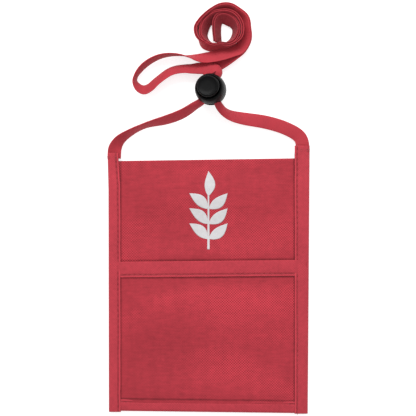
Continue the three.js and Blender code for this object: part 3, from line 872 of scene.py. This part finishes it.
def stitch_tree():
    """Node tree that lays stitches of thread end to end along the lines of a mesh."""
    tree = bpy.data.node_groups.new("stitch_rows", "GeometryNodeTree")
    for name, way, kind in (
        ("Geometry", "INPUT", "Geometry"), ("Pitch", "INPUT", "Float"),
        ("Length", "INPUT", "Float"), ("Thickness", "INPUT", "Float"),
        ("Seed", "INPUT", "Int"), ("Material", "INPUT", "Material"),
        ("Geometry", "OUTPUT", "Geometry"),
    ):
        tree.interface.new_socket(name, in_out=way, socket_type=f"NodeSocket{kind}")
    source = add_node(tree, "NodeGroupInput").outputs
    lines = add_node(tree, "GeometryNodeMeshToCurve", inputs={"Mesh": source["Geometry"]})
    places = add_node(
        tree, "GeometryNodeCurveToPoints", {"mode": "LENGTH"},
        {"Curve": lines.outputs["Curve"], "Length": source["Pitch"]},
    )
    thread = add_node(
        tree, "GeometryNodeMeshUVSphere", inputs={"Segments": 8, "Rings": 6, "Radius": 0.5},
    )
    size = add_node(tree, "ShaderNodeCombineXYZ", inputs={
        "X": source["Thickness"], "Y": source["Thickness"], "Z": source["Length"],
    })
    shaped = add_node(tree, "GeometryNodeTransform", inputs={
        "Geometry": thread.outputs["Mesh"], "Scale": size.outputs["Vector"],
    })
    turned = add_node(
        tree, "FunctionNodeAlignRotationToVector", {"axis": "Z"},
        {"Vector": places.outputs["Tangent"]},
    )
    jitter = add_node(
        tree, "FunctionNodeRandomValue", {"data_type": "FLOAT"},
        {2: 0.9, 3: 1.08, "Seed": source["Seed"]},
    )
    spread = add_node(tree, "GeometryNodeInstanceOnPoints", inputs={
        "Points": places.outputs["Points"], "Instance": shaped.outputs["Geometry"],
        "Rotation": turned.outputs["Rotation"], "Scale": jitter.outputs[1],
    })
    real = add_node(
        tree, "GeometryNodeRealizeInstances", inputs={"Geometry": spread.outputs["Instances"]},
    )
    painted = add_node(tree, "GeometryNodeSetMaterial", inputs={
        "Geometry": real.outputs["Geometry"], "Material": source["Material"],
    })
    add_node(tree, "NodeGroupOutput", inputs={"Geometry": painted.outputs["Geometry"]})
    return tree


def settled(piece):
    """Turn the piece's modifiers into its plain mesh, and shade it smooth."""
    bpy.context.view_layer.update()
    evaluated = piece.evaluated_get(bpy.context.evaluated_depsgraph_get())
    plain = bpy.data.meshes.new_from_object(evaluated)
    piece.modifiers.clear()
    piece.data = plain
    plain.polygons.foreach_set("use_smooth", [True] * len(plain.polygons))


def stitched(name, lines, *nodes):
    """One piece of stitches along these lines, each a list of points in mm."""
    points, edges = [], []
    for line in lines:
        first = len(points)
        points += [tuple(float(v) * MM for v in point) for point in line]
        edges += [(i, i + 1) for i in range(first, len(points) - 1)]
    mesh = bpy.data.meshes.new(name)
    mesh.from_pydata(points, edges, [])
    piece = placed(name, mesh)
    tree = bpy.data.node_groups.get("stitch_rows") or stitch_tree()
    modifier = piece.modifiers.new("stitches", "NODES")
    modifier.node_group = tree
    thread = settings("stitch")
    values = {
        "Pitch": thread.pitch, "Length": thread.length, "Thickness": thread.thickness,
        "Seed": STITCH_SEED,
        "Material": finish_named("seam_thread", twisted_thread, thread.colour),
    }
    for item in tree.interface.items_tree:
        if item.in_out == "INPUT" and item.name in values:
            modifier[item.identifier] = values[item.name]
    settled(piece)
    declared(piece, "pouch", "sewing_thread", *nodes)


def side_seam(inner, bottom, top, inwards):
    """The two rows of a side tape's seam: on its upper leg and on its lower one."""
    for front in (True, False):
        line = []
        for y in np.linspace(bottom, top, 60):
            x = at(inner, y) + inwards * (GROOVE_FROM_EDGE if front else 2.2)
            line.append((x, y, side_tape_top(y) - 0.32 if front else 0.14))
        yield line


def cross_seam(edge, out, height, end_height, back):
    """The two rows of a seam that runs across."""
    first, last = SEAM_ENDS
    for front in (True, False):
        line = []
        for x in np.linspace(first, last, 60):
            free = float(eased(x, first, first + 6) * (1 - eased(x, last - 6, last)))
            top = end_height + (height - end_height) * free
            line.append((x, float(edge(x)) + out, top if front else back))
        yield line


def tack_lines(node):
    """A back-and-forth tack where the strap's end is caught in a tape."""
    low, high = (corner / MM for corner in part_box(node))
    middle = (low.y + high.y) / 2
    for y in (middle - 0.5, middle + 0.5):
        yield [(low.x + 0.4, y, TACK_HEIGHT), (high.x - 0.4, y, TACK_HEIGHT)]


class POUCH_OT_stitches(bpy.types.Operator):
    """Sew the rows of stitches along the binding tapes"""

    bl_idname = "pouch.stitches"
    bl_label = "Stitches"

    def execute(self, context):
        sides = [
            ("left_stitches", LEFT_INNER, LEFT_BOTTOM + 0.6, LEFT_TOP - 0.8, -1,
             ("seam_left", "tack_left")),
            ("right_stitches", RIGHT_INNER, RIGHT_BOTTOM + 0.6, RIGHT_TOP - 0.8, 1,
             ("seam_right", "tack_right")),
        ]
        for name, inner, bottom, top, inwards, nodes in sides:
            lines = [*side_seam(inner, bottom, top, inwards), *tack_lines(nodes[1])]
            stitched(name, lines, *nodes)
        bottom_rows = cross_seam(bottom_edge, 8.0 - GROOVE_FROM_EDGE, 3.8, 3.8, 0.16)
        mouth_rows = cross_seam(mouth_open_edge, GROOVE_FROM_EDGE, 4.05, 3.9, 3.2)
        sleeve_rows = cross_seam(lambda x: 20.0, 0.0, 1.2, 1.2, 0.12)
        stitched("bottom_stitches", bottom_rows, "seam_bottom")
        stitched("mouth_stitches", [*mouth_rows, *sleeve_rows], "seam_mouth")
        return {"FINISHED"}


# ---- The print ----

def leaf_grid(base, angle, length, breadth, stem=False):
    """Points of one leaf, or of the stem, laid on the front cloth, in metres."""
    along = np.linspace(0, 1, 41)[:, None]
    side = np.linspace(-1, 1, 11)
    if stem:
        spread = np.full(along.shape, breadth / 2) * (1 - 0.35 * along)
    else:
        spread = breadth / 2 * np.sin(np.pi * np.clip(along, 0.004, 0.996) ** 0.85)
    bend = 0.06 * length * np.sin(np.pi * along)
    u = along * length + 0 * side
    v = spread * side + (0 if stem else bend)
    turn = math.radians(angle)
    x = base[0] + v * math.cos(turn) + u * math.sin(turn)
    y = base[1] - v * math.sin(turn) + u * math.cos(turn)
    return np.stack([x, y, front_height(x, y) + FRONT_SKIN + INK_PROUD], axis=2) * MM


def joined(name, pieces):
    """One piece made of all these, which it uses up."""
    work = bmesh.new()
    for piece in pieces:
        work.from_mesh(piece.data)
    material = pieces[0].data.materials[0]
    for piece in pieces:
        bpy.data.objects.remove(piece)
    mesh = bpy.data.meshes.new(name)
    work.to_mesh(mesh)
    work.free()
    mesh.materials.append(material)
    return placed(name, mesh)


class POUCH_OT_print(bpy.types.Operator):
    """Print the leaf sprig on the front cloth"""

    bl_idname = "pouch.print"
    bl_label = "Printed sprig"

    def execute(self, context):
        ink = finish_named("sprig_ink_finish", screen_ink)
        grids = [leaf_grid((0, 20), 0, 37, 1.6, stem=True), leaf_grid((0, 55.5), 0, 16.5, 7)]
        for y in (27, 37, 47):
            grids.append(leaf_grid((0.4, y), 50, 16, 7))
            grids.append(leaf_grid((-0.4, y), -50, 16, 7))
        leaves = [sheet_mesh(f"leaf_{i}", grid, 0.08 * MM, ink) for i, grid in enumerate(grids)]
        declared(joined("sprig_print", leaves), "pouch", "print_ink", "printed_sprig")
        return {"FINISHED"}


# ---- The strap ----

def roll_rows(inset=0.0, over=0.0, flip=0):
    """Rows of the roll and of its last stretch across the middle. inset and over set a second
    layer, and flip is taken off the lean, where the strap comes in with its other face up."""
    quarters, radii, leans = np.array(ROLL_TURNS, float).T
    rows = []
    for q in np.arange(ROLL_ENDS[0], ROLL_ENDS[1] + 1e-6, 0.25):
        spot = np.searchsorted(quarters, q, side="right") - 1
        spot = min(max(spot, 0), len(quarters) - 2)
        share = float(eased(q, quarters[spot], quarters[spot + 1]))
        radius = radii[spot] + (radii[spot + 1] - radii[spot]) * share
        lean = leans[spot] + (leans[spot + 1] - leans[spot]) * share
        angle = q * math.pi / 2
        snug = 1 - 0.22 * max(0.0, -math.sin(angle)) ** 2
        radius -= inset * snug * math.sin(math.radians(lean))
        lift = 0.05 + over * abs(math.cos(math.radians(lean)))
        rows.append((
            ROLL_CENTRE[0] + radius * math.cos(angle), ROLL_CENTRE[1] + radius * math.sin(angle),
            lift, lean - flip, 0,
        ))
    for x, y, lift, lean, fold in CROSSING:
        rows.append((x + inset * 0.85, y - inset * 0.55, lift + over * 0.55, lean - flip, fold))
    return rows


def strap_section(fold, width, thickness, camber):
    """The strap's cross section as (across, up) points, curled up small as fold nears 1."""
    half = width / 2
    place = half * np.sin(np.linspace(-math.pi / 2, math.pi / 2, 11))
    edge = np.abs(place) / half
    body = thickness / 2 * (1 - 0.3 * eased(edge, 0.7, 0.86) + 0.25 * eased(edge, 0.84, 0.96))
    body = body * np.sqrt(np.clip(1.02 - edge ** 14, 0.03, 1))
    curl = max(fold * math.radians(140), camber)
    radius = half / curl
    angle = place / radius
    squash = 1 - 0.45 * fold
    line = np.stack([radius * np.sin(angle), radius * (np.cos(angle) - 1) * squash], axis=1)
    run = np.gradient(line, axis=0)
    run /= np.linalg.norm(run, axis=1, keepdims=True)
    side = np.stack([-run[:, 1], run[:, 0]], axis=1) * body[:, None]
    section = np.concatenate([line + side, (line - side)[::-1]])
    section[:, 1] -= line[:, 1].mean()
    return section, np.concatenate([place, place[::-1]])


def make_strap(name, rows, seed, nodes, bends):
    """One half of the strap along these rows. bends, the start and end in mm of a stretch along the
    strap, is not used."""
    strap = settings("strap")
    width, thickness = strap.width / MM, strap.thickness / MM
    dense = np.array([centre_row(row, width, thickness) for row in rows])
    dense, places = catmull(dense, strap.spacing / MM)
    centres = dense[:, :3]
    run = np.gradient(centres, axis=0)
    run /= np.linalg.norm(run, axis=1, keepdims=True)
    rings, across, along = [], [], []
    for centre, heading, lean, fold, travelled in zip(
        centres, run, dense[:, 3], dense[:, 4], places,
    ):
        heading = Vector(heading)
        flutter = 2.4 * noise.noise(Vector((travelled / 16, seed, 2))) * (1 - fold)
        up = Vector((0, 0, 1))
        up = (up - heading * up.dot(heading)).normalized()
        up = Matrix.Rotation(math.radians(lean + flutter), 3, heading) @ up
        over = heading.cross(up)
        camber = 0.10 + 0.07 * noise.noise(Vector((travelled / 22, seed, 6)))
        section, place = strap_section(fold, width, thickness, camber)
        ring = centre + section[:, :1] * np.array(over) + section[:, 1:] * np.array(up)
        rings.append(ring * MM)
        across.append(place * MM)
        along.append(np.full(len(place), travelled * MM))
    weave = finish_named("strap_weave", woven_strap, strap.colour)
    piece = swept(name, np.array(rings), across, along, weave)
    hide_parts(*nodes)
    [tuple(map(float, point)) for point in centres * MM]
    start, end = (tuple(v * MM for v in point) for point in bends)
    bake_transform(piece)
    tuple(start)
    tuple(end)


def centre_row(row, width, thickness):
    """(x, y, z of the strap's middle, lean, fold) from a route's row."""
    x, y, lift, lean, fold = row
    tilt = math.radians(lean)
    tall = width * (1 - 0.6 * fold) * abs(math.sin(tilt))
    tall += thickness * (1 + 1.2 * fold) * abs(math.cos(tilt))
    return x, y, lift + tall / 2, lean, fold


class POUCH_OT_strap(bpy.types.Operator):
    """Lay the strap's two halves from the pouch through the cord lock into the roll"""

    bl_idname = "pouch.strap"
    bl_label = "Strap"

    def execute(self, context):
        left = [*LEFT_RUN, *LEFT_STRAND, *LEFT_LEAD_IN, *roll_rows(flip=180)]
        right = [*RIGHT_RUN, *RIGHT_STRAND, *SLACK_LOOP, *roll_rows(inset=1.2, over=0.8)]
        make_strap(
            "strap_left_half", left, 0.2,
            ("strap_left_run", "strap_strand_left", "strap_lead_in", "strap_roll"),
            ((-60.9, 89.6, 0), (-8.4, 119.9, 0)),
        )
        make_strap(
            "strap_right_half", right, 7.7,
            ("strap_right_run", "strap_strand_right", "strap_slack_loop"),
            ((61.3, 93.6, 0), (12.5, 121.8, 0)),
        )
        return {"FINISHED"}


# ---- The cord lock ----

LOCK_CENTRE = Vector((1.5, 125.7, 10.7)) * MM
LOCK_TILT = Matrix.Rotation(math.radians(15), 4, Vector((-1, -1, 0)).normalized())
LOCK_PLACE = Matrix.Translation(LOCK_CENTRE) @ LOCK_TILT
LOCK_SEGMENTS = 96
BODY_PROFILE = [
    (0, -9.8), (3, -9.8), (4.8, -9.7), (6.4, -9.2), (7.7, -8.3), (8.7, -6.9), (9.45, -5.3),
    (9.95, -3.4), (10.2, -1.4), (10.25, 0.5), (10.15, 2.4), (9.95, 4.1), (9.6, 5.6), (9.2, 6.7),
    (8.9, 7.3), (8.6, 7.65), (8.25, 7.75), (7.95, 7.6), (7.78, 7.2), (7.75, 6.6), (7.75, 0),
    (7.75, -7), (5.2, -7.05), (5.2, -8.2), (0, -8.2),
]
PLUNGER_PROFILE = [
    (0, -3.7), (6.8, -3.7), (7.25, -3.55), (7.4, -3.2), (7.4, 3), (7.4, 9.5), (7.38, 10.1),
    (7.2, 10.6), (6.9, 10.9), (6.5, 11.0), (6.1, 10.95), (5.7, 10.75), (5.2, 10.6), (3.2, 10.5),
    (0, 10.48),
]


def turned_form(name, profile, segments, material, ribs=0, rib_height=0.0):
    """A form turned from a profile of (radius, height) in mm, with grip ribs on its widest part."""
    angles = np.arange(segments) * 2 * math.pi / segments
    points = [(0, 0, profile[0][1] * MM)]
    for radius, height in profile[1:-1]:
        band = float(eased(height, -6.5, -4.5) * (1 - eased(height, 3.4, 5.2)))
        grip = rib_height / MM * band * (1 if radius > 8.9 else 0)
        wave = np.abs(np.cos(angles * ribs / 2)) ** 0.7 - 1
        around = (radius + grip * wave) * MM
        points += [
            (r * math.cos(a), r * math.sin(a), height * MM) for r, a in zip(around, angles)
        ]
    points.append((0, 0, profile[-1][1] * MM))
    faces = band_faces(len(profile) - 2, segments, first=1)
    last = 1 + (len(profile) - 3) * segments
    for s in range(segments):
        d = (s + 1) % segments
        faces.append((0, 1 + d, 1 + s))
        faces.append((len(points) - 1, last + s, last + d))
    return face_outwards(new_piece(name, points, faces, material))


def cut_box(piece, low, high):
    """Cut a box, given by its corners in mm, right out of a piece."""
    corners = [
        (x * MM, y * MM, z * MM)
        for x in (low[0], high[0]) for y in (low[1], high[1]) for z in (low[2], high[2])
    ]
    faces = [(0, 1, 3, 2), (4, 6, 7, 5), (0, 4, 5, 1), (2, 3, 7, 6), (0, 2, 6, 4), (1, 5, 7, 3)]
    tool = face_outwards(new_piece("cutter", corners, faces, piece.data.materials[0], smooth=False))
    rounding = tool.modifiers.new("rounding", "BEVEL")
    rounding.width = 1.2 * MM
    rounding.segments = 4
    cut = piece.modifiers.new("cut", "BOOLEAN")
    cut.operation = "DIFFERENCE"
    cut.solver = "EXACT"
    cut.object = tool
    settled(piece)
    bpy.data.objects.remove(tool)
    piece.data.set_sharp_from_angle(angle=math.radians(38))


class POUCH_OT_lock(bpy.types.Operator):
    """Make the cord lock's ribbed body and its push button"""

    bl_idname = "pouch.lock"
    bl_label = "Cord lock"

    def execute(self, context):
        lock = settings("lock")
        plastic = finish_named("lock_shell_finish", moulded_plastic, lock.colour)
        body = turned_form(
            "lock_housing", BODY_PROFILE, max(LOCK_SEGMENTS, lock.ribs * 8), plastic, lock.ribs,
            lock.rib_height,
        )
        cut_box(body, (-5.6, -14, -3.6), (5.6, 14, 0.8))
        button = turned_form("lock_button", PLUNGER_PROFILE, LOCK_SEGMENTS, plastic)
        cut_box(button, (-5.35, -14, -1.8), (5.35, 14, 3.9))
        for piece, node, moves_with in (
            (body, "lock_body", "cord_lock"), (button, "lock_plunger", "plunger"),
        ):
            piece.data.transform(LOCK_PLACE)
            declared(piece, moves_with, "lock_plastic", node)
        return {"FINISHED"}


def spring_rings(radius, wire, bottom, top, turns, sides=10):
    """Rings, in metres, of a round wire wound up a helix whose ends lie flat. Sizes are in mm."""
    rings = []
    for share in np.linspace(0, 1, round(turns * 40) + 1):
        turn = 2 * math.pi * turns * share
        height = bottom + (top - bottom) * float(eased(share, 0.06, 0.94))
        outward = np.array([math.cos(turn), math.sin(turn), 0])
        around = np.arange(sides) * 2 * math.pi / sides
        ring = outward * radius + np.array([0, 0, height])
        ring = ring + np.outer(np.cos(around), outward) * wire / 2
        rings.append(ring + np.outer(np.sin(around), (0, 0, 1)) * wire / 2)
    return np.array(rings) * MM


class POUCH_OT_spring(bpy.types.Operator):
    """Wind the lock's spring"""

    bl_idname = "pouch.spring"
    bl_label = "Lock spring"

    def execute(self, context):
        rings = spring_rings(radius=4, wire=0.7, bottom=-7.6, top=-4.35, turns=3.5)
        flat = np.zeros(rings.shape[:2])
        steel = finish_named("spring_wire_finish", spring_steel)
        piece = swept("lock_coil", rings, flat, flat, steel)
        piece.data.transform(LOCK_PLACE)
        declared(piece, "cord_lock", "spring_steel", "lock_spring")
        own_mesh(piece)
        return {"FINISHED"}


class POUCH_OT_hidden_parts(bpy.types.Operator):
    """Finish the closure strips inside the opening"""

    bl_idname = "pouch.hidden_parts"
    bl_label = "Closure strips"

    def execute(self, context):
        pile = finish_named("closure_pile_finish", hook_pile, (0.30, 0.03, 0.04))
        for node in ("hook_strip", "loop_strip"):
            strip = bpy.data.objects[node]
            strip.data.materials.clear()
            strip.data.materials.append(pile)
        return {"FINISHED"}


# ---- The studio ----

def aimed(place, target):
    return (Vector(target) - Vector(place)).to_track_quat("-Z", "Y").to_euler()


class POUCH_OT_studio(bpy.types.Operator):
    """Set up the floor, the lights and the camera"""

    bl_idname = "pouch.studio"
    bl_label = "Studio"

    def execute(self, context):
        scene = context.scene
        studio = settings("studio")
        corners = [
            (x, y, FLOOR_LEVEL) for x, y in ((-1.5, -1.5), (1.5, -1.5), (1.5, 1.5), (-1.5, 1.5))
        ]
        floor = new_piece("studio_floor", corners, [(0, 1, 2, 3)], pale_floor("floor_paper"))

        world = bpy.data.worlds.new("room")
        world.use_nodes = True
        background = world.node_tree.nodes["Background"].inputs
        background["Color"].default_value = (1, 1, 1, 1)
        background["Strength"].default_value = studio.sky
        scene.world = world

        lamp = bpy.data.lights.new("softbox", "AREA")
        lamp.shape = "RECTANGLE"
        lamp.size, lamp.size_y = 0.9, 0.5
        lamp.energy = studio.softbox
        box = placed("softbox", lamp)
        box.location = SOFTBOX_PLACE
        box.rotation_euler = aimed(box.location, (0, 0.05, 0))

        lens = bpy.data.cameras.new("camera")
        lens.lens = studio.lens
        lens.sensor_width = 36
        lens.clip_start, lens.clip_end = 0.05, 20
        camera = placed("camera", lens)
        away = studio.view_width / 2 / math.tan(lens.angle / 2)
        camera.location = (*VIEW_MIDDLE, away)
        scene.camera = camera
        scene.view_settings.view_transform = "Standard"
        return {"FINISHED"}


PIECE_OPERATORS = (
    POUCH_OT_panels, POUCH_OT_tapes, POUCH_OT_stitches, POUCH_OT_print, POUCH_OT_strap,
    POUCH_OT_lock, POUCH_OT_spring, POUCH_OT_hidden_parts, POUCH_OT_studio,
)
SETTINGS = {
    "pouch_settings": PouchSettings,
    "strap_settings": StrapSettings,
    "stitch_settings": StitchSettings,
    "lock_settings": LockSettings,
    "studio_settings": StudioSettings,
}


class POUCH_PT_maker(bpy.types.Panel):
    bl_idname = "POUCH_PT_maker"
    bl_label = "Neck Pouch"
    bl_space_type = "VIEW_3D"
    bl_region_type = "UI"
    bl_category = "Neck Pouch"

    def draw(self, context):
        for name, group in SETTINGS.items():
            box = self.layout.box()
            for setting in group.__annotations__:
                box.prop(getattr(context.scene, name), setting)
        for operator in PIECE_OPERATORS:
            self.layout.operator(operator.bl_idname)


CLASSES = (*SETTINGS.values(), *PIECE_OPERATORS, POUCH_PT_maker)


def register():
    for cls in CLASSES:
        bpy.utils.register_class(cls)
    for name, group in SETTINGS.items():
        setattr(bpy.types.Scene, name, PointerProperty(type=group))


def unregister():
    for name in SETTINGS:
        delattr(bpy.types.Scene, name)
    for cls in reversed(CLASSES):
        bpy.utils.unregister_class(cls)


def main():
    register()
    bpy.ops.pouch.studio()
    bpy.ops.pouch.strap()
    bpy.ops.pouch.panels()
    bpy.ops.pouch.tapes()
    bpy.ops.pouch.stitches()
    bpy.ops.pouch.print()
    bpy.ops.pouch.lock()
    bpy.ops.pouch.spring()
    bpy.ops.pouch.hidden_parts()


if __name__ == "__main__":
    main()
